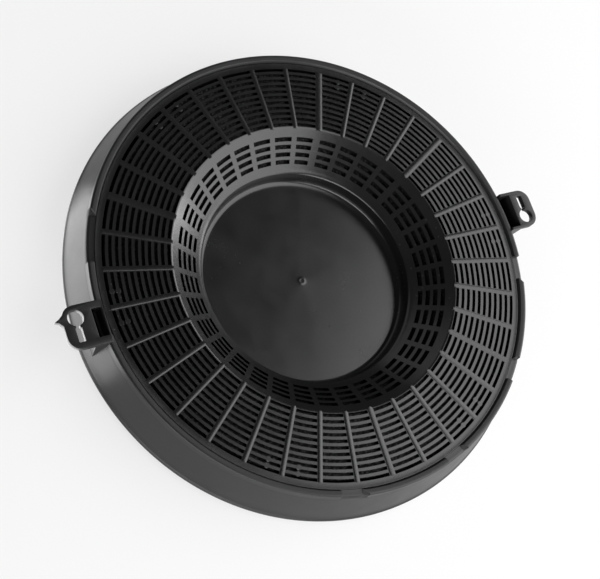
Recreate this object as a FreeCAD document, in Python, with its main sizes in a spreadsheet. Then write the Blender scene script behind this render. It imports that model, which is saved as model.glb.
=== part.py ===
import FreeCAD, Part
import math
import os
import re

import Sketcher

# Round two-eared carbon filter of a cooker hood: a moulded housing with a conical wall, a moulded
# grille that drops into it as a ring, a cone and a central well, and a bed of carbon between them.
# Millimetres. +Z points at the shown grille, z = 0 is the back face, and X runs through the round
# holes of the two ears.

doc = FreeCAD.newDocument("HoodFilter")

# Driving dimensions

SIZES = [
    ("overall_height", 27.3),
    ("skin", 2.0),
    ("lid_skin", 1.6),
    ("fit_clearance", 0.4),
    ("lip_radius", 120.0),
    ("lip_height", 3.2),
    ("lip_band", 1.4),
    ("lip_step", 0.8),
    ("lip_bevel", 3.5),
    ("rim_radius", 112.95),
    ("rim_skin", 3.05),
    ("rim_height", 4.5),
    ("rim_round", 2.6),
    ("shelf_depth", 5.7),
    ("shelf_width", 2.0),
    ("shelf_thickness", 1.3),
    ("grille_drop", 1.8),
    ("margin_width", 2.6),
    ("margin_drop", 2.3),
    ("transition_radius", 73.6),
    ("cone_radius", 55.7),
    ("cone_depth", 13.9),
    ("cone_skin", 2.0),
    ("well_radius", 54.6),
    ("well_skin", 2.0),
    ("well_bevel", 2.0),
    ("rib_count", 36),
    ("rib_angle", 9.1),
    ("rib_land", 2.7),
    ("rib_width", 2.0),
    ("rib_rise", 0.4),
    ("rib_overhang", 0.5),
    ("rib_end_gap", 0.6),
    ("slot_width", 1.45),
    ("row_pitch", 3.06),
    ("ring_rows", 11),
    ("first_ring_row", 74.95),
    ("cone_rows", 4),
    ("first_cone_row", 59.5),
    ("cone_slot_width", 1.75),
    ("back_cells", 18),
    ("back_rows", 4),
    ("back_slot_width", 2.4),
    ("back_row_pitch", 11.0),
    ("first_back_row", 70.0),
    ("back_land", 5.0),
    ("gap_angle", 6.0),
    ("gap_pitch", 30.0),
    ("gap_count", 4),
    ("first_gap", 257.2),
    ("long_gap_angle", 12.0),
    ("long_gap", 161.5),
    ("ear_rise", 1.5),
    ("ear_plate", 3.0),
    ("ear_reach", 130.0),
    ("ear_low_side", 6.0),
    ("ear_high_side", 14.3),
    ("ear_round", 6.0),
    ("ear_root", 0.6),
    ("hole_offset", 123.9),
    ("hole_radius", 3.65),
    ("neck_width", 1.9),
    ("neck_offset", 4.4),
    ("key_slot_width", 3.0),
    ("key_slot_end", 11.2),
    ("bracket_reach", 119.6),
    ("bracket_foot", 10.0),
    ("bracket_foot_reach", 116.8),
    ("bracket_skin", 1.4),
    ("window_gap", 0.8),
    ("left_window_start", 111.2),
    ("left_window_end", 116.2),
    ("left_arm", 3.5),
    ("pointer_reach", 133.2),
    ("pointer_half", 2.6),
    ("bed_clearance", 0.3),
    ("overcut", 2.0),
]

sheet = doc.addObject("Spreadsheet::Sheet", "Sizes")
for row, (alias, value) in enumerate(SIZES, start=1):
    sheet.set("A%d" % row, alias)
    sheet.set("B%d" % row, str(value))
    sheet.setAlias("B%d" % row, alias)
doc.recompute()


def size(alias):
    """Value of a driving dimension as a plain number."""
    return float(getattr(sheet, alias))


def bound(formula):
    """Formula in size names, written as an expression on the sheet."""
    names = {alias for alias, value in SIZES}
    return re.sub(r"[a-z_]+", lambda word: "Sizes." + word.group() if word.group() in names
                  else word.group(), formula)


def number(formula):
    """Value of a formula in size names."""
    return float(sheet.evalExpression(bound(formula)))


# Heights and radii that follow from the driving dimensions

RIM_TOP = "overall_height"
SEAT = "(overall_height - shelf_depth)"
RIM_INNER = "(rim_radius - rim_skin)"
GRILLE_TOP = "(overall_height - grille_drop)"
LID_UNDER = "(overall_height - grille_drop - lid_skin)"
LID_EDGE = "(rim_radius - rim_skin - fit_clearance)"
SHELF_INNER = "(rim_radius - rim_skin - shelf_width)"
CONE_TOP = "(overall_height - grille_drop - cone_depth)"
CONE_SLOPE = "(cone_depth / (transition_radius - cone_radius))"
WELL_OUTER = "(well_radius + well_skin)"
LIP_TOP = "(lip_height + lip_band + lip_step)"
WALL_LEAN = "((lip_radius - lip_step - rim_radius) / (overall_height - %s))" % LIP_TOP
SHELF_UNDER = "(%s - shelf_thickness)" % SEAT
SHELF_ROOT = "(%s - shelf_width)" % SHELF_UNDER
WALL_INNER_LOW = "(lip_radius - lip_step - skin)"
WALL_INNER_TOP = "(rim_radius + (overall_height - %s) * %s - skin)" % (SHELF_ROOT, WALL_LEAN)
PLATE_UNDER = "(overall_height + ear_rise - ear_plate)"
PLATE_TOP = "(overall_height + ear_rise)"


def origin_plane(body, role):
    """Origin plane of a body by its role."""
    return next(plane for plane in body.Origin.OriginFeatures if plane.Role == role)


def new_sketch(body, name, role, height="", turn=""):
    """Sketch on an origin plane of its own body, lifted and turned by formulas."""
    sketch = body.newObject("Sketcher::SketchObject", name)
    sketch.AttachmentSupport = (origin_plane(body, role), [""])
    sketch.MapMode = "FlatFace"
    if height or turn:
        angle = number(turn) if turn else 0.0
        lift = number(height) if height else 0.0
        sketch.AttachmentOffset = FreeCAD.Placement(
            FreeCAD.Vector(0, 0, lift), FreeCAD.Rotation(FreeCAD.Vector(0, 0, 1), angle))
    if height:
        sketch.setExpression("AttachmentOffset.Base.z", bound(height))
    if turn:
        sketch.setExpression("AttachmentOffset.Rotation.Angle", bound(turn))
    return sketch


def outline(sketch, corners):
    """Closed outline of straight lines whose corners are pairs of formulas."""
    points = [FreeCAD.Vector(number(across), number(along), 0) for across, along in corners]
    first = sketch.GeometryCount
    count = len(points)
    for step in range(count):
        sketch.addGeometry(Part.LineSegment(points[step], points[(step + 1) % count]), False)
    for step in range(count):
        following = first + (step + 1) % count
        sketch.addConstraint(Sketcher.Constraint("Coincident", first + step, 2, following, 1))
    for step, (across, along) in enumerate(corners):
        for kind, formula in (("DistanceX", across), ("DistanceY", along)):
            index = sketch.addConstraint(Sketcher.Constraint(
                kind, -1, 1, first + step, 1, number(formula)))
            sketch.setExpression("Constraints[%d]" % index, bound(formula))


def circle(sketch, across, along, radius):
    """Circle whose centre and radius are formulas."""
    centre = FreeCAD.Vector(number(across), number(along), 0)
    index = sketch.addGeometry(Part.Circle(centre, FreeCAD.Vector(0, 0, 1), number(radius)), False)
    for kind, formula in (("DistanceX", across), ("DistanceY", along)):
        mark = sketch.addConstraint(Sketcher.Constraint(kind, -1, 1, index, 3, number(formula)))
        sketch.setExpression("Constraints[%d]" % mark, bound(formula))
    mark = sketch.addConstraint(Sketcher.Constraint("Radius", index, number(radius)))
    sketch.setExpression("Constraints[%d]" % mark, bound(radius))


def turned(body, name, kind, corners):
    """Revolution or groove of an outline given as radius and height."""
    sketch = new_sketch(body, name + "Profile", "XZ_Plane")
    outline(sketch, corners)
    feature = body.newObject("PartDesign::" + kind, name)
    feature.Profile = sketch
    feature.ReferenceAxis = (sketch, ["V_Axis"])
    feature.Angle = 360
    doc.recompute()
    body.Tip = feature
    return feature


def raised(body, name, sketch, length):
    """Pad of a sketch upwards by a formula."""
    feature = body.newObject("PartDesign::Pad", name)
    feature.Profile = sketch
    feature.Type = "Length"
    feature.setExpression("Length", bound(length))
    feature.Length = number(length)
    doc.recompute()
    body.Tip = feature
    return feature


def cut(body, name, sketch, length):
    """Pocket of a sketch downwards by a formula; it has to remove material."""
    feature = body.newObject("PartDesign::Pocket", name)
    feature.Profile = sketch
    feature.Type = "Length"
    feature.setExpression("Length", bound(length))
    feature.Length = number(length)
    doc.recompute()
    body.Tip = feature
    if not feature.Shape.Volume < feature.BaseFeature.Shape.Volume:
        raise RuntimeError(name + " removes nothing")
    return feature


def ring_of(body, name, feature, count):
    """Copies of a feature all round the axis of the filter."""
    pattern = body.newObject("PartDesign::PolarPattern", name)
    pattern.Originals = [feature]
    pattern.Axis = (feature.Profile[0], ["N_Axis"])
    pattern.Angle = 360
    pattern.setExpression("Occurrences", bound(count))
    doc.recompute()
    body.Tip = pattern
    return pattern


def rounded(body, name, marks, radius):
    """Fillet of the full circular edges at the given radii and heights."""
    base = body.Tip
    edges = []
    for across, height in marks:
        for index, edge in enumerate(base.Shape.Edges, start=1):
            curve = edge.Curve
            if (isinstance(curve, Part.Circle)
                    and abs(curve.Radius - number(across)) < 1e-3
                    and abs(curve.Center.z - number(height)) < 1e-3
                    and math.hypot(curve.Center.x, curve.Center.y) < 1e-3):
                edges.append("Edge%d" % index)
    feature = body.newObject("PartDesign::Fillet", name)
    feature.Base = (base, edges)
    feature.setExpression("Radius", bound(radius))
    doc.recompute()
    body.Tip = feature
    return feature


def upright_round(body, name, marks, radius):
    """Fillet of the upright straight edges that stand on the given points of the plan."""
    base = body.Tip
    edges = []
    for index, edge in enumerate(base.Shape.Edges, start=1):
        low, high = edge.Vertexes[0].Point, edge.Vertexes[-1].Point
        for across, along in marks:
            if all(math.hypot(end.x - across, end.y - along) < 1e-3 for end in (low, high)):
                edges.append("Edge%d" % index)
    feature = body.newObject("PartDesign::Fillet", name)
    feature.Base = (base, edges)
    feature.setExpression("Radius", bound(radius))
    doc.recompute()
    body.Tip = feature
    return feature


def cell_slot(sketch, middle, width, cells, land):
    """Slot of one cell: straight edges, ends parallel to the ribs beside it."""
    inner = "(%s - %s / 2)" % (middle, width)
    outer = "(%s + %s / 2)" % (middle, width)
    half = "(tan(180 / %s) * %s - %s / 2)"
    inner_half = half % (cells, inner, land)
    outer_half = half % (cells, outer, land)
    outline(sketch, [(inner, "-" + inner_half), (outer, "-" + outer_half),
                     (outer, outer_half), (inner, inner_half)])


def arc_slot(sketch, middle, width, cells, land):
    """Slot of one cell with arcs round the axis and ends that run towards it."""
    half = "(180 / %s - %s / 2 / %s * 180 / pi)" % (cells, land, middle)
    radii = ["(%s - %s / 2)" % (middle, width), "(%s + %s / 2)" % (middle, width)]
    angle = number(half)
    first = sketch.GeometryCount
    for radius in radii:
        round_of = Part.Circle(FreeCAD.Vector(0, 0, 0), FreeCAD.Vector(0, 0, 1), number(radius))
        sketch.addGeometry(
            Part.ArcOfCircle(round_of, math.radians(-angle), math.radians(angle)), False)
    for side in (-angle, angle):
        ends = [FreeCAD.Vector(number(radius) * math.cos(math.radians(side)),
                               number(radius) * math.sin(math.radians(side)), 0)
                for radius in radii]
        sketch.addGeometry(Part.LineSegment(*ends), False)
    for arc, radius in enumerate(radii):
        sketch.addConstraint(Sketcher.Constraint("Coincident", first + arc, 3, -1, 1))
        mark = sketch.addConstraint(
            Sketcher.Constraint("Radius", first + arc, number(radius)))
        sketch.setExpression("Constraints[%d]" % mark, bound(radius))
    for line, arc_end, sign in ((first + 2, 1, "-"), (first + 3, 2, "")):
        for arc in (0, 1):
            sketch.addConstraint(Sketcher.Constraint(
                "Coincident", line, arc + 1, first + arc, arc_end))
        formula = "%s%s * sin(%s)" % (sign, radii[0], half)
        mark = sketch.addConstraint(
            Sketcher.Constraint("DistanceY", -1, 1, line, 1, number(formula)))
        sketch.setExpression("Constraints[%d]" % mark, bound(formula))
        sketch.addConstraint(Sketcher.Constraint("PointOnObject", -1, 1, line))


def build_lid():
    """Slotted grille ring, slotted cone and blind central well in one moulding."""
    body = doc.addObject("PartDesign::Body", "FrontGrille")
    cone_foot = "(%s - cone_skin + (%s - cone_radius) * %s)" % (CONE_TOP, WELL_OUTER, CONE_SLOPE)
    cone_head = "(transition_radius + (cone_skin - lid_skin) / %s)" % CONE_SLOPE
    turned(body, "GrilleBody", "Revolution", [
        ("0", "0"),
        (WELL_OUTER, "0"),
        (WELL_OUTER, cone_foot),
        (cone_head, LID_UNDER),
        ("%s - shelf_width - margin_drop" % LID_EDGE, LID_UNDER),
        ("%s - shelf_width" % LID_EDGE, SEAT),
        (LID_EDGE, SEAT),
        (LID_EDGE, "%s - margin_drop" % GRILLE_TOP),
        ("%s - margin_width" % LID_EDGE, GRILLE_TOP),
        ("transition_radius", GRILLE_TOP),
        ("cone_radius", CONE_TOP),
        ("well_radius", "%s - (cone_radius - well_radius) * %s" % (CONE_TOP, CONE_SLOPE)),
        ("well_radius", "well_skin + well_bevel"),
        ("well_radius - well_bevel", "well_skin"),
        ("0", "well_skin")])

    rib = new_sketch(body, "RibPlan", "XY_Plane", "%s - lid_skin / 2" % GRILLE_TOP, "rib_angle")
    start = "transition_radius - rib_overhang"
    end = "%s - margin_width - rib_end_gap" % LID_EDGE
    outline(rib, [(start, "-rib_width / 2"), (end, "-rib_width / 2"),
                  (end, "rib_width / 2"), (start, "rib_width / 2")])
    first_rib = raised(body, "Rib", rib, "lid_skin / 2 + rib_rise")
    ring_of(body, "Ribs", first_rib, "rib_count")

    slots = new_sketch(body, "SlotPlan", "XY_Plane", "overall_height",
                       "rib_angle + 180 / rib_count")
    for row in range(int(size("ring_rows"))):
        cell_slot(slots, "(first_ring_row + %d * row_pitch)" % row, "slot_width",
                  "rib_count", "rib_land")
    for row in range(int(size("cone_rows"))):
        arc_slot(slots, "(first_cone_row + %d * row_pitch)" % row, "cone_slot_width",
                 "rib_count", "rib_land")
    first_cell = cut(body, "SlotCell", slots, "overall_height - well_skin - well_bevel")
    ring_of(body, "SlotCells", first_cell, "rib_count")
    return body


def build_housing():
    """Conical wall, back grille, rim with gaps and the two ears in one moulding."""
    body = doc.addObject("PartDesign::Body", "Housing")
    turned(body, "HousingBody", "Revolution", [
        ("0", "0"),
        ("lip_radius - lip_bevel", "0"),
        ("lip_radius", "lip_height"),
        ("lip_radius", "lip_height + lip_band"),
        ("lip_radius - lip_step", LIP_TOP),
        ("rim_radius", RIM_TOP),
        ("0", RIM_TOP)])
    rounded(body, "RimRound", [("rim_radius", RIM_TOP)], "rim_round")

    ears = (("Right", "0", "rim_radius + window_gap", "bracket_reach - bracket_skin",
             "bracket_skin", "ear_plate"),
            ("Left", "180", "left_window_start", "left_window_end",
             "left_arm", "ear_rise + rim_height"))
    for side, turn, start, end, arm, depth in ears:
        build_ear(body, side, turn)
    turned(body, "Inside", "Groove", [
        ("0", "-overcut"),
        (WELL_OUTER + " + fit_clearance", "-overcut"),
        (WELL_OUTER + " + fit_clearance", "skin"),
        (WALL_INNER_LOW, "skin"),
        (WALL_INNER_TOP, SHELF_ROOT),
        (SHELF_INNER, SHELF_UNDER),
        (SHELF_INNER, SEAT),
        (RIM_INNER, SEAT),
        (RIM_INNER, "overall_height + ear_rise + overcut"),
        ("0", "overall_height + ear_rise + overcut")])

    for side, turn, start, end, arm, depth in ears:
        window = new_sketch(body, side + "Window", "XY_Plane", PLATE_TOP, turn)
        outline(window, [(start, "-ear_low_side + %s" % arm), (end, "-ear_low_side + %s" % arm),
                         (end, "ear_high_side - %s" % arm), (start, "ear_high_side - %s" % arm)])
        cut(body, side + "WindowCut", window, depth)

    gaps = new_sketch(body, "RimGapPlan", "XY_Plane", "overall_height + ear_rise")
    for index in range(int(size("gap_count"))):
        rim_gap(gaps, "(first_gap + %d * gap_pitch)" % index, "gap_angle")
    rim_gap(gaps, "long_gap", "long_gap_angle")
    cut(body, "RimGaps", gaps, "rim_height + ear_rise")

    back = new_sketch(body, "BackSlotPlan", "XY_Plane", "skin", "180 / back_cells")
    for row in range(int(size("back_rows"))):
        cell_slot(back, "(first_back_row + %d * back_row_pitch)" % row, "back_slot_width",
                  "back_cells", "back_land")
    first_back = cut(body, "BackCell", back, "skin")
    ring_of(body, "BackCells", first_back, "back_cells")
    return body


def rim_gap(sketch, middle, width):
    """Gap in the raised rim, wide enough across to clear its skin."""
    corners = []
    inner = RIM_INNER + " - fit_clearance"
    for reach, side in ((inner, "-"), ("rim_radius + overcut", "-"),
                        ("rim_radius + overcut", "+"), (inner, "+")):
        angle = "(%s %s %s / 2)" % (middle, side, width)
        corners.append(("(%s) * cos(%s)" % (reach, angle), "(%s) * sin(%s)" % (reach, angle)))
    outline(sketch, corners)


def build_ear(body, side, turn):
    """Keyhole plate on a hollow bracket that grows out of the wall."""
    low = "-ear_low_side"
    high = "ear_high_side"
    start = "(%s + ear_root)" % RIM_INNER
    levels = []
    for level, height, reach in (("Foot", "bracket_foot", "bracket_foot_reach"),
                                 ("Head", PLATE_UNDER, "bracket_reach")):
        walls = new_sketch(body, side + "Bracket" + level, "XY_Plane", height, turn)
        outline(walls, [
            (start, low), (reach, low), (reach, high), (start, high),
            (start, high + " - bracket_skin"),
            (reach + " - bracket_skin", high + " - bracket_skin"),
            (reach + " - bracket_skin", low + " + bracket_skin"),
            (start, low + " + bracket_skin")])
        levels.append(walls)
    bracket = body.newObject("PartDesign::AdditiveLoft", side + "Bracket")
    bracket.Profile = levels[0]
    bracket.Sections = levels[1:]
    bracket.Ruled = True
    doc.recompute()
    body.Tip = bracket

    plate = new_sketch(body, side + "PlatePlan", "XY_Plane", PLATE_UNDER, turn)
    outline(plate, [(start, low), ("ear_reach", low), ("ear_reach", high), (start, high)])
    raised(body, side + "Plate", plate, "ear_plate")
    facing = math.cos(math.radians(number(turn)))
    corners = [(facing * number("ear_reach"), facing * number(edge)) for edge in (low, high)]
    upright_round(body, side + "PlateRound", corners, "ear_round")

    if side == "Left":
        pointer = new_sketch(body, "PointerPlan", "XY_Plane", PLATE_UNDER, turn)
        outline(pointer, [("ear_reach - overcut", "-pointer_half"),
                          ("ear_reach", "-pointer_half"),
                          ("pointer_reach", "0"),
                          ("ear_reach", "pointer_half"),
                          ("ear_reach - overcut", "pointer_half")])
        raised(body, "Pointer", pointer, "ear_plate")

    hole = new_sketch(body, side + "HolePlan", "XY_Plane", PLATE_TOP, turn)
    circle(hole, "hole_offset", "0", "hole_radius")
    cut(body, side + "Hole", hole, "ear_plate")
    slot = new_sketch(body, side + "KeySlotPlan", "XY_Plane", PLATE_TOP, turn)
    flare = "neck_offset + (key_slot_width - neck_width) / 2"
    outline(slot, [("hole_offset - neck_width / 2", "hole_radius / 2"),
                   ("hole_offset + neck_width / 2", "hole_radius / 2"),
                   ("hole_offset + neck_width / 2", "neck_offset"),
                   ("hole_offset + key_slot_width / 2", flare),
                   ("hole_offset + key_slot_width / 2", "key_slot_end"),
                   ("hole_offset - key_slot_width / 2", "key_slot_end"),
                   ("hole_offset - key_slot_width / 2", flare),
                   ("hole_offset - neck_width / 2", "neck_offset")])
    cut(body, side + "KeySlot", slot, "ear_plate")


def build_bed():
    """Carbon bed: it stands on the back grille and fills the space under the front one."""
    body = doc.addObject("PartDesign::Body", "CarbonBed")
    low = "(%s + fit_clearance + bed_clearance)" % WELL_OUTER
    cone_foot = ("(%s - cone_skin - bed_clearance * 2 + (%s - cone_radius) * %s)"
                 % (CONE_TOP, low, CONE_SLOPE))
    top = "(%s - bed_clearance)" % LID_UNDER
    cone_head = ("(transition_radius + (cone_skin + bed_clearance - lid_skin) / %s)" % CONE_SLOPE)
    shoulder = "(%s - shelf_width - margin_drop - bed_clearance)" % LID_EDGE
    turned(body, "BedBody", "Revolution", [
        (low, "skin"),
        (WALL_INNER_LOW + " - bed_clearance", "skin"),
        (WALL_INNER_TOP + " - bed_clearance", SHELF_ROOT + " - bed_clearance"),
        (shoulder, SHELF_ROOT + " - bed_clearance"),
        (shoulder, top),
        (cone_head, top),
        (low, cone_foot)])
    return body


PARTS = [("front_grille", build_lid), ("housing", build_housing), ("carbon_bed", build_bed)]

bodies = []
for node, build in PARTS:
    made = build()
    made.Label = node
    made.Placement = FreeCAD.Placement()
    bodies.append(made)
doc.recompute()

for item in doc.Objects:
    if {"Invalid", "Error"} & set(item.State):
        raise RuntimeError("%s is %s" % (item.Name, item.State))
for made in bodies:
    if made.Shape.isNull() or not made.Shape.isValid() or len(made.Shape.Solids) != 1:
        raise RuntimeError("%s has no single valid solid" % made.Label)

os.makedirs("parts", exist_ok=True)
for made in bodies:
    made.Shape.exportStep(os.path.join("parts", made.Label + ".step"))
    print(made.Label, "volume %.0f mm3" % made.Shape.Volume, "faces", len(made.Shape.Faces))
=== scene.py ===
import math
import bmesh
import bpy
from mathutils import Matrix, Vector


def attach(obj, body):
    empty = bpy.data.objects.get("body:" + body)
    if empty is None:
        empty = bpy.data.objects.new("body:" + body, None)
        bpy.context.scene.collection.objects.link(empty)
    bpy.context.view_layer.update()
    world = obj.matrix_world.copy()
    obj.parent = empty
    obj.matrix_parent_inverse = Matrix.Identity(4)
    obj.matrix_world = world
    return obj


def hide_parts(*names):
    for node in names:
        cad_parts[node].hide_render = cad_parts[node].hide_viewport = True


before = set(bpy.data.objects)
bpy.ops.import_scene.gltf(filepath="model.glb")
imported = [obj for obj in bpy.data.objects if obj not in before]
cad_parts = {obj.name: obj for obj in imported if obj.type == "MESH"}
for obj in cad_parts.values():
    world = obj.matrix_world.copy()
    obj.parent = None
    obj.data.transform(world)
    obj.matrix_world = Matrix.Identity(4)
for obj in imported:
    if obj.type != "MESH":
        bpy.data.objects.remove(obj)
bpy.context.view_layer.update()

# Sizes in millimetres, as in the construction; meshes are made in millimetres and scaled once.

MM = 0.001

# Front grille: plain margin, ring of slots, cone of slots, round well with a blind disk

GRILLE = 25.5
SEAT = 21.6
SKIN = 1.6
CONE_SKIN = 2.0
EDGE = 109.5
LEDGE_EDGE = 107.5
THICK_FROM = 105.2
BEAD = 0.05
RIB_END = 106.4
TURN = 73.6
CONE_END = 57.0
CONE_FOOT = 55.7
CONE_DEPTH = 13.9
SLOPE = CONE_DEPTH / (TURN - CONE_FOOT)
WELL = 54.6
WELL_OUTER = 56.6
WELL_ROUND = 3.0
FLOOR = 2.0
DISK_RINGS = ((40.0, 0.0), (24.0, 0.0), (10.0, 0.0), (3.2, 0.0))
GATE_MARK = ((2.6, 0.02), (1.6, 0.05), (1.25, 0.22), (0.9, 0.18), (0.6, -0.25))

# Slots and ribs of the front grille

RIBS = 36
FIRST_RIB = math.radians(9.1)
LAND = 1.35
WIDER_RIBS = {2: 0.5, 6: 0.55, 14: 0.5, 26: 0.25}
RIB_RISE = 0.15
PITCH = 3.06
RING_ROWS = 11
FIRST_RING_ROW = 74.95
RING_SLOT = 1.62
CONE_ROWS = 4
FIRST_CONE_ROW = 59.5
CONE_SLOT = 1.75
FLARE = 0.28
SLOT_BEVEL = 0.13
PAD_ROWS = (103.9, 100.9)
PAD_RADIUS = 1.35
PAD_RISE = 0.03
PAD_CHAMFER = 0.15
PAD_ASIDE = math.radians(4.2)

# Housing: wall, rim and back grille

TOP = 27.3
RIM_INNER = 109.9
RIM_OUTER = 113.7
RIM_FOOT = 22.8
GAP_FLOOR = 25.4
WALL_FOOT = 119.2
LIP_TOP = 5.4
BASE = 115.5
WALL_COLUMNS = 288
BACK_SKIN = 2.0
BACK_CELLS = 18
BACK_ROWS = 4
FIRST_BACK_ROW = 70.0
BACK_PITCH = 11.0
BACK_SLOT = 2.4
BACK_LAND = 2.5

# Ears: keyhole plates on hollow brackets

PLATE_LOW = 25.8
PLATE_TOP = 28.8
PLATE_EDGE = 0.25
PLATE_START = {"left": 110.6, "right": 113.0}
EAR_REACH = 130.0
EAR_LOW = -6.0
EAR_HIGH = 14.3
EAR_ROUND = 6.0
POINTER_FLANK = 131.3
POINTER_TIP = 133.4
WINDOW = (111.4, 116.2, -2.6, 10.8)
WINDOW_ROUND = 0.5
RELIEF_REACH = 118.3
RELIEF_LOW = -4.6
RELIEF_HIGH = 12.9
HOLE_AT = 123.9
HOLE_RADIUS = 3.65
NECK_HALF = 0.95
NECK_FROM = 4.4
NECK_TO = 4.95
KEY_HALF = 1.5
KEY_END = 11.2
KEY_CORNER = 0.3
BRACKET_START = 112.4
BRACKET_FOOT = 10.0
BRACKET_FOOT_REACH = 116.6
BRACKET_TOP_REACH = {"left": 118.6, "right": 119.6}
BRACKET_WALL = 1.4
ARC_STEP = math.radians(12)
WELD = 0.002


def polar(radius, angle, height):
    """Point in millimetres from radius, angle in radians and height."""
    return Vector((radius * math.cos(angle), radius * math.sin(angle), height))


def finish_mesh(name, bm, sharp=28.0):
    """Object from a millimetre mesh, smooth but for its sharp edges."""
    bmesh.ops.scale(bm, vec=(MM, MM, MM), verts=bm.verts)
    bmesh.ops.recalc_face_normals(bm, faces=bm.faces)
    mesh = bpy.data.meshes.new(name)
    bm.to_mesh(mesh)
    bm.free()
    mesh.polygons.foreach_set("use_smooth", [True] * len(mesh.polygons))
    mesh.set_sharp_from_angle(angle=math.radians(sharp))
    piece = bpy.data.objects.new(name, mesh)
    bpy.context.scene.collection.objects.link(piece)
    return piece


# Slotted disc from rows of points, each with an upper and a lower point

def lattice(bm, cells, start, rows, open_rows, lands, rib_half, middle=4, least_reach=60.0):
    """Closed slotted shell. A row is (upper r, upper z, lower r, lower z, rib height).

    A cell lies between two half ribs with rounded shoulders. Its slot runs from land to land in
    so many middle steps. Within the least reach, ribs and lands narrow with the radius.
    """
    pitch = 2 * math.pi / cells
    shoulders = (0.0, 0.55 * rib_half, 0.85 * rib_half, rib_half)
    rises = (1.0, 0.95, 0.5, 0.0)

    def angles(radius):
        reach = max(radius, least_reach)
        found = []
        for cell in range(cells):
            left = start + cell * pitch
            right = left + pitch
            grow_left = lands[cell] / LAND
            grow_right = lands[(cell + 1) % cells] / LAND
            first = left + math.asin(lands[cell] / reach)
            last = right - math.asin(lands[(cell + 1) % cells] / reach)
            found += [left + math.asin(d * grow_left / reach) for d in shoulders]
            found += [first + (last - first) * step / middle for step in range(middle + 1)]
            found += [right - math.asin(d * grow_right / reach) for d in reversed(shoulders[1:])]
        return found

    lift = list(rises) + [0.0] * (middle + 1) + list(reversed(rises[1:]))
    per_cell = len(lift)
    slot_from = len(shoulders)
    slot_to = slot_from + middle
    upper = []
    lower = []
    for top_r, top_z, low_r, low_z, rise in rows:
        spread = angles(top_r)
        upper.append([bm.verts.new(polar(top_r, a, top_z + rise * lift[i % per_cell]))
                      for i, a in enumerate(spread)])
        spread = angles(low_r) if abs(low_r - top_r) > 1e-6 else spread
        lower.append([bm.verts.new(polar(low_r, a, low_z)) for a in spread])
    count = cells * per_cell

    def is_open(row, column):
        return row in open_rows and slot_from <= column % per_cell < slot_to

    for row in range(len(rows) - 1):
        for column in range(count):
            nxt = (column + 1) % count
            if is_open(row, column):
                if column % per_cell == slot_from:
                    bm.faces.new((upper[row][column], upper[row + 1][column],
                                  lower[row + 1][column], lower[row][column]))
                if column % per_cell == slot_to - 1:
                    bm.faces.new((upper[row + 1][nxt], upper[row][nxt],
                                  lower[row][nxt], lower[row + 1][nxt]))
                bm.faces.new((upper[row][nxt], upper[row][column],
                              lower[row][column], lower[row][nxt]))
                bm.faces.new((upper[row + 1][column], upper[row + 1][nxt],
                              lower[row + 1][nxt], lower[row + 1][column]))
            else:
                bm.faces.new((upper[row][column], upper[row][nxt],
                              upper[row + 1][nxt], upper[row + 1][column]))
                bm.faces.new((lower[row][nxt], lower[row][column],
                              lower[row + 1][column], lower[row + 1][nxt]))
    for column in range(count):
        nxt = (column + 1) % count
        bm.faces.new((upper[0][nxt], upper[0][column], lower[0][column], lower[0][nxt]))
    return upper, lower


def cone_top(radius):
    """Height of the cone's upper face."""
    return GRILLE - (TURN - radius) * SLOPE


def lid_under(radius):
    """Height of the lid's underside, which comes down to the seat at its edge."""
    if radius > THICK_FROM:
        return SEAT + (LEDGE_EDGE - radius)
    return min(GRILLE - SKIN, cone_top(radius) - CONE_SKIN)


def slot_rows(first, count, width, level, rows, open_rows, rise):
    """Adds the rows of a field of slots from its outer edge inwards."""
    for index in reversed(range(count)):
        centre = first + index * PITCH
        for radius in (centre + width / 2, centre - width / 2):
            if radius > centre:
                open_rows.add(len(rows))
            flared = radius + math.copysign(FLARE, radius - centre)
            rows.append((radius, level(radius), flared, lid_under(flared), rise))


def margin_rows():
    """Rows of the plain margin, from the seat over the bead on its edge to the ribs' ends."""
    rows = [(EDGE, SEAT, LEDGE_EDGE, SEAT, 0.0)]
    for back, rise, under in ((0.0, -0.04, 0.1), (0.1, BEAD, 0.2), (0.4, BEAD, 0.3),
                              (0.6, 0.0, 0.5)):
        rows.append((EDGE - back, GRILLE + rise, LEDGE_EDGE - under, SEAT + under, 0.0))
    for top_r, low_r, rise in ((RIB_END + 0.5, RIB_END + 0.4, 0.0),
                               (RIB_END + 0.1, RIB_END + 0.1, 0.0),
                               (RIB_END, RIB_END, RIB_RISE)):
        rows.append((top_r, GRILLE, low_r, lid_under(low_r), rise))
    return rows


def turn_rows():
    """Rows of the edge between ring and cone, where the ribs end."""
    drop = 0.5 * SLOPE
    return [(TURN + 0.25, GRILLE, TURN + 0.25, lid_under(TURN + 0.25), RIB_RISE),
            (TURN, GRILLE - 0.06, TURN, lid_under(TURN), RIB_RISE + 0.06),
            (TURN - 0.5, cone_top(TURN - 0.5), TURN - 0.5, lid_under(TURN - 0.5), RIB_RISE + drop),
            (TURN - 0.55, cone_top(TURN - 0.55), TURN - 0.55, lid_under(TURN - 0.55), 0.0)]


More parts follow.
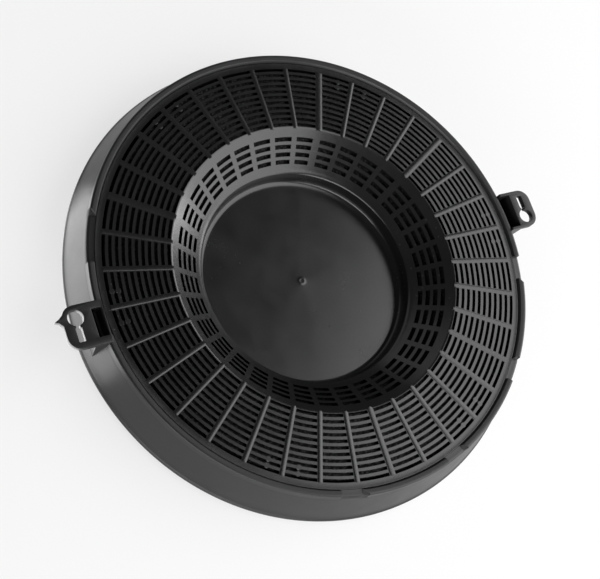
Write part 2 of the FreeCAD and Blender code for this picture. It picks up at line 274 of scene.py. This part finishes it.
def well_rows():
    """Rows of the cone's foot, the well's wall with its round foot, and the disk."""
    foot = GRILLE - CONE_DEPTH
    rows = [(CONE_END, cone_top(CONE_END), CONE_END, cone_top(CONE_END) - CONE_SKIN, 0.0),
            (CONE_FOOT + 0.3, cone_top(CONE_FOOT + 0.3), WELL_OUTER, foot - 1.3, 0.0),
            (CONE_FOOT - 0.2, foot - 0.05, WELL_OUTER, foot - 1.6, 0.0),
            (WELL + 0.3, foot - 0.6, WELL_OUTER, foot - 2.2, 0.0),
            (WELL, foot - 1.0, WELL_OUTER, foot - 2.6, 0.0),
            (WELL, FLOOR + WELL_ROUND, WELL_OUTER, FLOOR + 2.0, 0.0)]
    disk = WELL - WELL_ROUND
    for degrees, low_z in ((22.5, 1.8), (45, 0.9), (67.5, 0.3)):
        angle = math.radians(degrees)
        rows.append((disk + WELL_ROUND * math.cos(angle),
                     FLOOR + WELL_ROUND - WELL_ROUND * math.sin(angle), WELL_OUTER, low_z, 0.0))
    rows += [(disk, FLOOR, WELL_OUTER - 0.2, 0.0, 0.0), (disk - 0.3, FLOOR, disk - 0.3, 0.0, 0.0)]
    for radius, dent in DISK_RINGS + GATE_MARK:
        rows.append((radius, FLOOR + dent, radius, 0.0, 0.0))
    return rows


def soften_slots(bm):
    """Small bevel on the upper edges of the slots."""
    def is_upper(vert):
        radius = max(CONE_FOOT, math.hypot(vert.co.x, vert.co.y))
        return vert.co.z > cone_top(radius) - 0.05 or vert.co.z > GRILLE - 0.05

    edges = [edge for edge in bm.edges
             if len(edge.link_faces) == 2 and edge.calc_face_angle(0.0) > math.radians(60)
             and all(is_upper(vert) for vert in edge.verts)]
    bmesh.ops.bevel(bm, geom=edges, offset=SLOT_BEVEL, segments=2, profile=0.5, affect="EDGES",
                    clamp_overlap=True)


def add_pads(bm):
    """Round ejector pads on two slats, in a pair of cells by every sixth rib."""
    for rib in range(0, RIBS, 6):
        for side in (-1, 1):
            angle = FIRST_RIB + (rib + 5) * math.tau / RIBS + side * PAD_ASIDE
            for radius in PAD_ROWS:
                add_stud(bm, polar(radius, angle, GRILLE - SKIN), PAD_RADIUS, SKIN + PAD_RISE)


def build_grille():
    """Ring, cone and well of the front grille."""
    bm = bmesh.new()
    lands = [LAND + WIDER_RIBS.get(index, 0.0) for index in range(RIBS)]
    open_rows = set()
    rows = margin_rows()
    slot_rows(FIRST_RING_ROW, RING_ROWS, RING_SLOT, lambda r: GRILLE, rows, open_rows, RIB_RISE)
    rows += turn_rows()
    slot_rows(FIRST_CONE_ROW, CONE_ROWS, CONE_SLOT, cone_top, rows, open_rows, 0.0)
    rows += well_rows()
    upper, lower = lattice(bm, RIBS, FIRST_RIB, rows, open_rows, lands, 1.0)
    bm.faces.new(upper[-1])
    bm.faces.new(list(reversed(lower[-1])))
    soften_slots(bm)
    add_pads(bm)
    return finish_mesh("front_grille_dressed", bm)


def add_stud(bm, foot, radius, height, sides=16):
    """Round pad that stands on a point, with a small chamfer."""
    rings = []
    for reach, level in ((radius, 0.0), (radius, height - PAD_CHAMFER),
                         (radius - PAD_CHAMFER, height)):
        rings.append([])
        for step in range(sides):
            angle = 2 * math.pi * step / sides
            place = Vector((reach * math.cos(angle), reach * math.sin(angle), level))
            rings[-1].append(bm.verts.new(foot + place))
    for low, high in zip(rings, rings[1:]):
        for step in range(sides):
            nxt = (step + 1) % sides
            bm.faces.new((low[step], low[nxt], high[nxt], high[step]))
    bm.faces.new(rings[-1])
    bm.faces.new(list(reversed(rings[0])))


# Housing: wall and rim with gaps, slotted floor, ears

LIP_PROFILE = [(BASE, 0.0), (116.3, 0.0), (116.8, 0.25), (119.7, 2.9), (120.0, 3.4), (120.0, 4.4),
               (119.85, 4.75), (119.35, 5.25), (119.15, 5.6)]
WALL_LEVELS = (8.0, 12.0, 16.0, 20.0, 22.4, RIM_FOOT)
RIM_PROFILE = [(113.55, 23.1), (113.25, 26.5), (113.15, 26.8), (112.95, 27.05), (112.65, 27.24),
               (112.3, TOP), (111.9, 27.27), (111.1, 27.16), (110.4, 27.05), (110.1, 26.75),
               (109.85, 26.0)]
INNER_PROFILE = [(109.65, GRILLE), (109.62, 25.3), (RIM_INNER, 25.0), (RIM_INNER, SEAT),
                 (107.9, SEAT), (107.9, 20.3), (111.6, 18.3), (117.2, 5.4), (117.2, BACK_SKIN),
                 (BASE, BACK_SKIN)]
GAP_PROFILE = [(113.3, 24.4), (112.75, 25.15), (112.1, GAP_FLOOR), (111.8, GAP_FLOOR),
               (110.2, GAP_FLOOR)]
EAR_NOTCH = [(113.4, 22.5), (112.0, 21.0), (110.5, 24.0), (110.1, 25.1)]

# Gaps of the rim: first and last angle in degrees, slant of each end, and the floor's profile

GAPS = [(254.2, 260.0, 0.0, 2.0, GAP_PROFILE), (284.4, 290.2, 0.0, 1.6, GAP_PROFILE),
        (314.2, 320.4, 0.0, 1.6, GAP_PROFILE), (343.6, 349.9, 1.6, 0.0, GAP_PROFILE),
        (155.5, 167.5, 1.8, 0.0, GAP_PROFILE), (178.6, 185.5, 0.0, 0.0, EAR_NOTCH)]


def wall_r(height):
    """Outer radius of the conical wall."""
    return WALL_FOOT - (WALL_FOOT - RIM_OUTER) * (height - LIP_TOP) / (RIM_FOOT - LIP_TOP)


def gap_at(angle):
    """Floor profile of the gap at an angle in degrees, or None where the rim stands."""
    for low, high, _, _, profile in GAPS:
        if low <= angle <= high:
            return profile
    return None


def join_loops(bm, loops):
    """Faces between closed loops of vertices that follow each other."""
    for low, high in zip(loops, loops[1:]):
        count = len(low)
        for step in range(count):
            nxt = (step + 1) % count
            bm.faces.new((low[step], low[nxt], high[nxt], high[step]))


def rim_stations():
    """Angles of the wall's columns in degrees, and the slant at each gap's end."""
    slants = {}
    for low, high, slant_low, slant_high, _ in GAPS:
        slants[low] = -slant_low
        slants[high] = slant_high
    regular = [step * 360.0 / WALL_COLUMNS for step in range(WALL_COLUMNS)]
    regular = [s for s in regular if all(abs(s - mark) > 0.5 for mark in slants)]
    return sorted(regular + list(slants)), slants


def build_wall(bm):
    """Wall, lip, rim and ledge as one closed shell."""
    stations, slants = rim_stations()
    count = len(stations)
    outside = LIP_PROFILE + [(wall_r(z), z) for z in WALL_LEVELS]
    loops_out = [[bm.verts.new(polar(r, math.radians(s), z)) for s in stations]
                 for r, z in outside]
    loops_in = [[bm.verts.new(polar(r, math.radians(s), z)) for s in stations]
                for r, z in INNER_PROFILE]
    join_loops(bm, loops_out)
    join_loops(bm, loops_in)
    join_loops(bm, [loops_in[-1], loops_out[0]])
    crest = {}
    trough = {}
    for step, angle in enumerate(stations):
        gap = gap_at(angle)
        if gap is None or angle in slants:
            crest[step] = []
            for r, z in RIM_PROFILE:
                lean = slants.get(angle, 0.0) * (r - RIM_INNER) / (RIM_OUTER - RIM_INNER)
                crest[step].append(bm.verts.new(polar(r, math.radians(angle + lean), z)))
        if gap is not None:
            trough[step] = [bm.verts.new(polar(r, math.radians(angle), z)) for r, z in gap]
    outer = loops_out[-1]
    inner = loops_in[0]
    for step in range(count):
        nxt = (step + 1) % count
        middle = (stations[step] + (stations[nxt] if nxt else 360.0)) / 2
        columns = crest if gap_at(middle) is None else trough
        left = [outer[step]] + columns[step] + [inner[step]]
        right = [outer[nxt]] + columns[nxt] + [inner[nxt]]
        for level in range(len(left) - 1):
            bm.faces.new((left[level], right[level], right[level + 1], left[level + 1]))
    for step in trough:
        if step in crest:
            bm.faces.new([outer[step]] + crest[step] + [inner[step]]
                         + list(reversed(trough[step])))


def build_floor(bm):
    """Slotted back plate round the disk."""
    rows = [(BASE, BACK_SKIN, BASE, 0.0, 0.0)]
    open_rows = set()
    for index in reversed(range(BACK_ROWS)):
        centre = FIRST_BACK_ROW + BACK_PITCH * index
        open_rows.add(len(rows))
        for radius in (centre + BACK_SLOT / 2, centre - BACK_SLOT / 2):
            rows.append((radius, BACK_SKIN, radius, 0.0, 0.0))
    rows.append((CONE_END, BACK_SKIN, CONE_END, 0.0, 0.0))
    upper, lower = lattice(bm, BACK_CELLS, 0.0, rows, open_rows, [BACK_LAND] * BACK_CELLS, 1.2,
                           middle=10, least_reach=CONE_END)
    join_loops(bm, [upper[-1], lower[-1]])


def rounded_outline(corners):
    """Outline whose corners (x, y, radius) are rounded by arcs."""
    points = []
    count = len(corners)
    for index, (x, y, radius) in enumerate(corners):
        here = Vector((x, y))
        if radius <= 0:
            points.append(here)
            continue
        before = Vector(corners[index - 1][:2]) - here
        after = Vector(corners[(index + 1) % count][:2]) - here
        before.normalize()
        after.normalize()
        half = before.angle(after) / 2
        back = radius / math.tan(half)
        centre = here + (before + after).normalized() * radius / math.sin(half)
        first = here + before * back - centre
        last = here + after * back - centre
        turn = first.angle_signed(last)
        steps = max(3, int(abs(turn) / ARC_STEP))
        for step in range(steps + 1):
            points.append(centre + Matrix.Rotation(-turn * step / steps, 2) @ first)
    return points


def arc_outline(cx, cy, radius, start, end, steps):
    """Points on an arc, in degrees."""
    return [Vector((cx + radius * math.cos(math.radians(start + (end - start) * s / steps)),
                    cy + radius * math.sin(math.radians(start + (end - start) * s / steps))))
            for s in range(steps + 1)]


def keyhole():
    """Round hole with a neck into a narrow slot, along +Y."""
    opening = math.degrees(math.asin(NECK_HALF / HOLE_RADIUS))
    points = arc_outline(HOLE_AT, 0.0, HOLE_RADIUS, 90 + opening, 450 - opening, 28)
    side = [(NECK_HALF, NECK_FROM), (KEY_HALF, NECK_TO), (KEY_HALF, KEY_END - KEY_CORNER),
            (KEY_HALF - KEY_CORNER, KEY_END)]
    points += [Vector((HOLE_AT + x, y)) for x, y in side]
    points += [Vector((HOLE_AT - x, y)) for x, y in reversed(side)]
    return points


def plate_from(outlines, low, high, edge):
    """Flat plate with holes and rounded edges, from outlines in the plane."""
    curve = bpy.data.curves.new("plate_outline", "CURVE")
    curve.dimensions = "2D"
    curve.fill_mode = "BOTH"
    curve.extrude = (high - low) / 2 - edge
    curve.bevel_depth = edge
    curve.bevel_resolution = 2
    curve.offset = -edge
    for points in outlines:
        spline = curve.splines.new("POLY")
        spline.points.add(len(points) - 1)
        for target, point in zip(spline.points, points):
            target.co = (point.x, point.y, 0.0, 1.0)
        spline.use_cyclic_u = True
    holder = bpy.data.objects.new("plate_outline", curve)
    mesh = bpy.data.meshes.new_from_object(holder)
    mesh.transform(Matrix.Translation((0, 0, (low + high) / 2)))
    bpy.data.objects.remove(holder)
    bpy.data.curves.remove(curve)
    return mesh


def add_bracket(bm, top_reach):
    """Closed box under a plate whose outer face leans into the wall."""
    start = BRACKET_START
    levels = ((BRACKET_FOOT, BRACKET_FOOT_REACH), (PLATE_LOW + 0.3, top_reach))
    rings = []
    for level, reach in levels:
        rings.append([bm.verts.new((x, y, level)) for x, y in (
            (start, EAR_LOW), (reach, EAR_LOW), (reach, EAR_HIGH), (start, EAR_HIGH))])
    near = EAR_LOW + BRACKET_WALL
    far = EAR_HIGH - BRACKET_WALL
    for level, reach in reversed(levels):
        rings.append([bm.verts.new((x, y, level)) for x, y in (
            (start, near), (reach - BRACKET_WALL, near), (reach - BRACKET_WALL, far),
            (start, far))])
    for here, there in zip(rings, rings[1:] + rings[:1]):
        for step in range(3):
            bm.faces.new((here[step], here[step + 1], there[step + 1], there[step]))
    bm.faces.new([ring[0] for ring in rings])
    bm.faces.new([ring[3] for ring in reversed(rings)])
    add_bracket_foot(bm)


def add_bracket_foot(bm):
    """Plate that closes a bracket from below, a little inside its walls."""
    inset = 0.1
    reach = BRACKET_FOOT_REACH - inset
    near = EAR_LOW + inset
    far = EAR_HIGH - inset
    start = BRACKET_START
    base = []
    for level in (BRACKET_FOOT, BRACKET_FOOT + BRACKET_WALL):
        base.append([bm.verts.new((x, y, level)) for x, y in (
            (start, near), (reach, near), (reach, far), (start, far))])
    join_loops(bm, base)
    bm.faces.new(base[1])
    bm.faces.new(list(reversed(base[0])))


def box_outline(x_low, x_high, y_low, y_high, radius):
    """Rectangle with rounded corners."""
    return rounded_outline([(x_low, y_low, radius), (x_high, y_low, radius),
                            (x_high, y_high, radius), (x_low, y_high, radius)])


def pointer_corners():
    """Corners of the left ear's lower end and of its pointer, which has hollow flanks."""
    below = arc_outline(EAR_REACH - EAR_ROUND, 0.0, EAR_ROUND, -90.0, -26.0, 8)
    flank_half = 1.0
    flank_round = 2.2
    return [(p.x, p.y, 0.0) for p in below] + [
        (POINTER_FLANK, -flank_half, flank_round), (POINTER_TIP, 0.0, 0.2),
        (POINTER_FLANK, flank_half, flank_round), (EAR_REACH, 2.6, 0.6)]


def build_ear(bm, side):
    """Keyhole plate on its bracket: the left one with window and pointer, the right one open."""
    start = PLATE_START[side]
    holes = [keyhole()]
    corners = [(start, EAR_LOW, 0.0)]
    if side == "left":
        corners += pointer_corners()
        holes.append(box_outline(*WINDOW, WINDOW_ROUND))
    else:
        corners.append((EAR_REACH, EAR_LOW, EAR_ROUND))
    corners += [(EAR_REACH, EAR_HIGH, EAR_ROUND), (start, EAR_HIGH, 0.0)]
    if side == "right":
        corners += [(start, RELIEF_HIGH, 0.0), (RELIEF_REACH, RELIEF_HIGH, WINDOW_ROUND),
                    (RELIEF_REACH, RELIEF_LOW, WINDOW_ROUND), (start, RELIEF_LOW, 0.0)]
    mesh = plate_from([rounded_outline(corners)] + holes, PLATE_LOW, PLATE_TOP, PLATE_EDGE)
    ear = bmesh.new()
    ear.from_mesh(mesh)
    bpy.data.meshes.remove(mesh)
    add_bracket(ear, BRACKET_TOP_REACH[side])
    if side == "left":
        bmesh.ops.rotate(ear, cent=(0, 0, 0), matrix=Matrix.Rotation(math.pi, 3, "Z"),
                         verts=ear.verts)
    bmesh.ops.remove_doubles(ear, verts=ear.verts, dist=WELD)
    bmesh.ops.recalc_face_normals(ear, faces=ear.faces)
    holder = bpy.data.meshes.new("ear")
    ear.to_mesh(holder)
    ear.free()
    bm.from_mesh(holder)
    bpy.data.meshes.remove(holder)


def build_housing():
    """Whole housing as one mesh."""
    bm = bmesh.new()
    build_wall(bm)
    build_floor(bm)
    build_ear(bm, "right")
    build_ear(bm, "left")
    return finish_mesh("housing_dressed", bm, 34.0)


# Materials, with texture scales in features per metre

CLOUD_SCALE = 38.0
GLOSS_SCALE = 62.0
GRAIN_SCALE = 2600.0
SPECK_SCALE = 330.0
SPECK_COLOUR = (0.07, 0.07, 0.072, 1.0)
PATCH_SCALE = 24.0
CARBON_SCALE = 620.0


def node_material(name):
    """Node material with a shader and its output."""
    material = bpy.data.materials.new(name)
    material.use_nodes = True
    tree = material.node_tree
    tree.nodes.clear()
    output = tree.nodes.new("ShaderNodeOutputMaterial")
    shader = tree.nodes.new("ShaderNodeBsdfPrincipled")
    tree.links.new(shader.outputs["BSDF"], output.inputs["Surface"])
    return material, tree, shader


def combined(tree, operation, first, second):
    """Result of a math node on two sockets."""
    node = tree.nodes.new("ShaderNodeMath")
    node.operation = operation
    tree.links.new(first, node.inputs[0])
    tree.links.new(second, node.inputs[1])
    return node.outputs[0]


def noise(tree, source, scale, detail, rough):
    """Noise texture on object coordinates."""
    node = tree.nodes.new("ShaderNodeTexNoise")
    node.inputs["Scale"].default_value = scale
    node.inputs["Detail"].default_value = detail
    node.inputs["Roughness"].default_value = rough
    tree.links.new(source, node.inputs["Vector"])
    return node.outputs["Fac"]


def cell_distance(tree, source, scale):
    """Distance from the middles of random cells, on object coordinates."""
    node = tree.nodes.new("ShaderNodeTexVoronoi")
    node.inputs["Scale"].default_value = scale
    tree.links.new(source, node.inputs["Vector"])
    return node.outputs["Distance"]


def bumped(tree, shader, height, strength, distance, invert=False):
    """Gives a shader a bump from a texture value; the distance is in metres."""
    bump = tree.nodes.new("ShaderNodeBump")
    bump.invert = invert
    bump.inputs["Strength"].default_value = strength
    bump.inputs["Distance"].default_value = distance
    tree.links.new(height, bump.inputs["Height"])
    tree.links.new(bump.outputs["Normal"], shader.inputs["Normal"])


def ranged(tree, source, low, high, start=0.3, end=0.7):
    """Maps a texture value onto a range."""
    node = tree.nodes.new("ShaderNodeMapRange")
    node.inputs["From Min"].default_value = start
    node.inputs["From Max"].default_value = end
    node.inputs["To Min"].default_value = low
    node.inputs["To Max"].default_value = high
    tree.links.new(source, node.inputs["Value"])
    return node.outputs["Result"]


def ramp(tree, source, low, high):
    """Colour between the tones of low and high texture values."""
    node = tree.nodes.new("ShaderNodeValToRGB")
    node.color_ramp.elements[0].position = 0.3
    node.color_ramp.elements[0].color = (*low, 1.0)
    node.color_ramp.elements[1].position = 0.7
    node.color_ramp.elements[1].color = (*high, 1.0)
    tree.links.new(source, node.inputs["Fac"])
    return node.outputs["Color"]


def speckled(tree, where, base, strength):
    """Sparse pale specks of dust and scuffs over a base colour, in patches."""
    dots = cell_distance(tree, where, SPECK_SCALE)
    dot = ranged(tree, dots, strength, 0.0, start=0.08, end=0.17)
    patch = ranged(tree, noise(tree, where, PATCH_SCALE, 3.0, 0.6), 0.0, 1.0, start=0.56, end=0.66)
    mixed = tree.nodes.new("ShaderNodeMixRGB")
    tree.links.new(combined(tree, "MULTIPLY", dot, patch), mixed.inputs["Fac"])
    tree.links.new(base, mixed.inputs["Color1"])
    mixed.inputs["Color2"].default_value = SPECK_COLOUR
    return mixed.outputs["Color"]


def plastic(name, dark, light, gloss, specular, specks):
    """Moulded black plastic: cloudy tone, uneven gloss, specks and a fine spark-eroded grain."""
    material, tree, shader = node_material(name)
    where = tree.nodes.new("ShaderNodeTexCoord").outputs["Object"]
    tone = ramp(tree, noise(tree, where, CLOUD_SCALE, 4.0, 0.6), dark, light)
    tree.links.new(speckled(tree, where, tone, specks), shader.inputs["Base Color"])
    tree.links.new(ranged(tree, noise(tree, where, GLOSS_SCALE, 5.0, 0.65), *gloss),
                   shader.inputs["Roughness"])
    shader.inputs["Specular IOR Level"].default_value = specular
    grain = noise(tree, where, GRAIN_SCALE, 2.0, 0.5)
    bumped(tree, shader, grain, strength=0.25, distance=0.00006)
    return material


def carbon():
    """Bed of crushed carbon: dark grains with a dull sheen, each grain painted darker towards its
    edge as painted shade in the gaps between grains.
    """
    material, tree, shader = node_material("carbon_grains")
    where = tree.nodes.new("ShaderNodeTexCoord").outputs["Object"]
    grains = cell_distance(tree, where, CARBON_SCALE)
    # Painted shade: the colour falls from the middle of each grain to the sunken gaps between
    # grains.
    tone = ramp(tree, grains, (0.012, 0.012, 0.013), (0.003, 0.003, 0.003))
    tree.links.new(tone, shader.inputs["Base Color"])
    tree.links.new(ranged(tree, grains, 0.55, 0.9), shader.inputs["Roughness"])
    shader.inputs["Specular IOR Level"].default_value = 0.25
    bumped(tree, shader, grains, strength=0.9, distance=0.0008, invert=True)
    return material


def dress(piece, material):
    """Gives a piece one material."""
    piece.data.materials.clear()
    piece.data.materials.append(material)


grille = build_grille()
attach(grille, "root")
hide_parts("front_grille")
dress(grille, plastic("grille_plastic", dark=(0.0085, 0.0085, 0.009), light=(0.012, 0.012, 0.0127),
                      gloss=(0.2, 0.28), specular=0.6, specks=0.5))

housing = build_housing()
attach(housing, "root")
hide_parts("housing")
dress(housing, plastic("housing_plastic", dark=(0.011, 0.011, 0.0115), light=(0.015, 0.015, 0.0158),
                       gloss=(0.36, 0.44), specular=0.42, specks=0.3))

dress(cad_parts["carbon_bed"], carbon())


# Camera, lamps, world and floor, in metres

LENS = 72.84
SENSOR_WIDTH = 36.0
CAMERA_PLACE = Vector((-0.26972, -0.13763, 0.52714))
CAMERA_RIGHT = Vector((0.87266, -0.32993, 0.36001))
CAMERA_UP = Vector((0.20720, 0.91775, 0.33882))
CAMERA_BACK = Vector((-0.44219, -0.22107, 0.86925))
OBJECT_MIDDLE = Vector((0.0, 0.0, 0.015))
KEY_PLACE = Vector((0.838, -0.250, 0.52))
STRIP_TOWARDS = math.radians(167.0)
STRIP_RADIUS = 0.148
STRIP_HEIGHT = 0.0004
WORLD_LIGHT = 0.05
PAPER = (0.25, 0.25, 0.25, 1.0)
PAPER_GLOW = 0.7
FLOOR_HALF = 6.0
FLOOR_DROP = 0.0003


def look_matrix(place, right, up, back):
    """Placement of a camera or a lamp from its own axes."""
    matrix = Matrix((right, up, back)).transposed().to_4x4()
    matrix.translation = place
    return matrix


camera_data = bpy.data.cameras.new("camera")
camera_data.lens = LENS
camera_data.sensor_width = SENSOR_WIDTH
camera = bpy.data.objects.new("camera", camera_data)
bpy.context.scene.collection.objects.link(camera)
camera.matrix_world = look_matrix(CAMERA_PLACE, CAMERA_RIGHT, CAMERA_UP, CAMERA_BACK)
bpy.context.scene.camera = camera


def area_lamp(name, width, height, power):
    """Rectangular lamp that shines along its own -Z and isn't seen itself."""
    data = bpy.data.lights.new(name, "AREA")
    data.shape = "RECTANGLE"
    data.size = width
    data.size_y = height
    data.energy = power
    lamp = bpy.data.objects.new(name, data)
    lamp.visible_camera = False
    bpy.context.scene.collection.objects.link(lamp)
    return lamp


def softbox(name, place, width, height, power):
    """Area lamp that faces the object."""
    lamp = area_lamp(name, width, height, power)
    lamp.location = place
    lamp.rotation_euler = (OBJECT_MIDDLE - Vector(place)).to_track_quat("-Z", "Y").to_euler()


def key_panel():
    """Large panel over the right side, whose lower edge ends the bright part of the flat faces."""
    along = Vector((0.69, 0.72, 0.0)).normalized()
    facing = Vector((0.535, -0.513, 0.67)).normalized()
    lamp = area_lamp("key_softbox", width=1.7, height=1.40, power=22.0)
    lamp.matrix_world = look_matrix(KEY_PLACE, along, facing.cross(along), facing)


def floor_strip():
    """Lit patch of the floor that the wall on the left side mirrors."""
    outward = Vector((math.cos(STRIP_TOWARDS), math.sin(STRIP_TOWARDS), 0.0))
    place = outward * STRIP_RADIUS + Vector((0.0, 0.0, STRIP_HEIGHT))
    lamp = area_lamp("floor_strip", width=0.060, height=0.116, power=0.08)
    lamp.matrix_world = look_matrix(place, -outward, Vector((outward.y, -outward.x, 0.0)),
                                    Vector((0.0, 0.0, -1.0)))


key_panel()
softbox("front_softbox", (-0.60, -0.90, 0.28), width=1.6, height=0.42, power=13.0)
softbox("side_softbox", (1.12, 0.20, 0.20), width=0.8, height=0.36, power=3.5)
softbox("fill_softbox", (-0.25, 1.0, 0.40), width=1.0, height=0.5, power=0.7)
floor_strip()

world = bpy.data.worlds.new("studio")
world.use_nodes = True
backdrop = world.node_tree.nodes["Background"]
backdrop.inputs["Color"].default_value = (1.0, 1.0, 1.0, 1.0)
backdrop.inputs["Strength"].default_value = WORLD_LIGHT
bpy.context.scene.world = world


def floor_material():
    """Pale floor that reads white and keeps the shadow on it."""
    material = bpy.data.materials.new("studio_floor")
    material.use_nodes = True
    tree = material.node_tree
    tree.nodes.clear()
    output = tree.nodes.new("ShaderNodeOutputMaterial")
    paper = tree.nodes.new("ShaderNodeBsdfDiffuse")
    paper.inputs["Color"].default_value = PAPER
    glow = tree.nodes.new("ShaderNodeEmission")
    seen = tree.nodes.new("ShaderNodeLightPath")
    rays = combined(tree, "MAXIMUM", seen.outputs["Is Camera Ray"], seen.outputs["Is Glossy Ray"])
    rays = combined(tree, "MAXIMUM", rays, seen.outputs["Is Transmission Ray"])
    level = tree.nodes.new("ShaderNodeMath")
    level.operation = "MULTIPLY"
    level.inputs[1].default_value = PAPER_GLOW
    tree.links.new(rays, level.inputs[0])
    tree.links.new(level.outputs[0], glow.inputs["Strength"])
    both = tree.nodes.new("ShaderNodeAddShader")
    tree.links.new(paper.outputs[0], both.inputs[0])
    tree.links.new(glow.outputs[0], both.inputs[1])
    tree.links.new(both.outputs[0], output.inputs["Surface"])
    return material


floor_mesh = bpy.data.meshes.new("studio_floor")
floor_mesh.from_pydata([(-FLOOR_HALF, -FLOOR_HALF, 0), (FLOOR_HALF, -FLOOR_HALF, 0),
                        (FLOOR_HALF, FLOOR_HALF, 0), (-FLOOR_HALF, FLOOR_HALF, 0)], [],
                       [(0, 1, 2, 3)])
floor = bpy.data.objects.new("studio_floor", floor_mesh)
floor.location = (0.0, 0.0, -FLOOR_DROP)
floor_mesh.materials.append(floor_material())
bpy.context.scene.collection.objects.link(floor)

bpy.context.scene.view_settings.view_transform = "Standard"
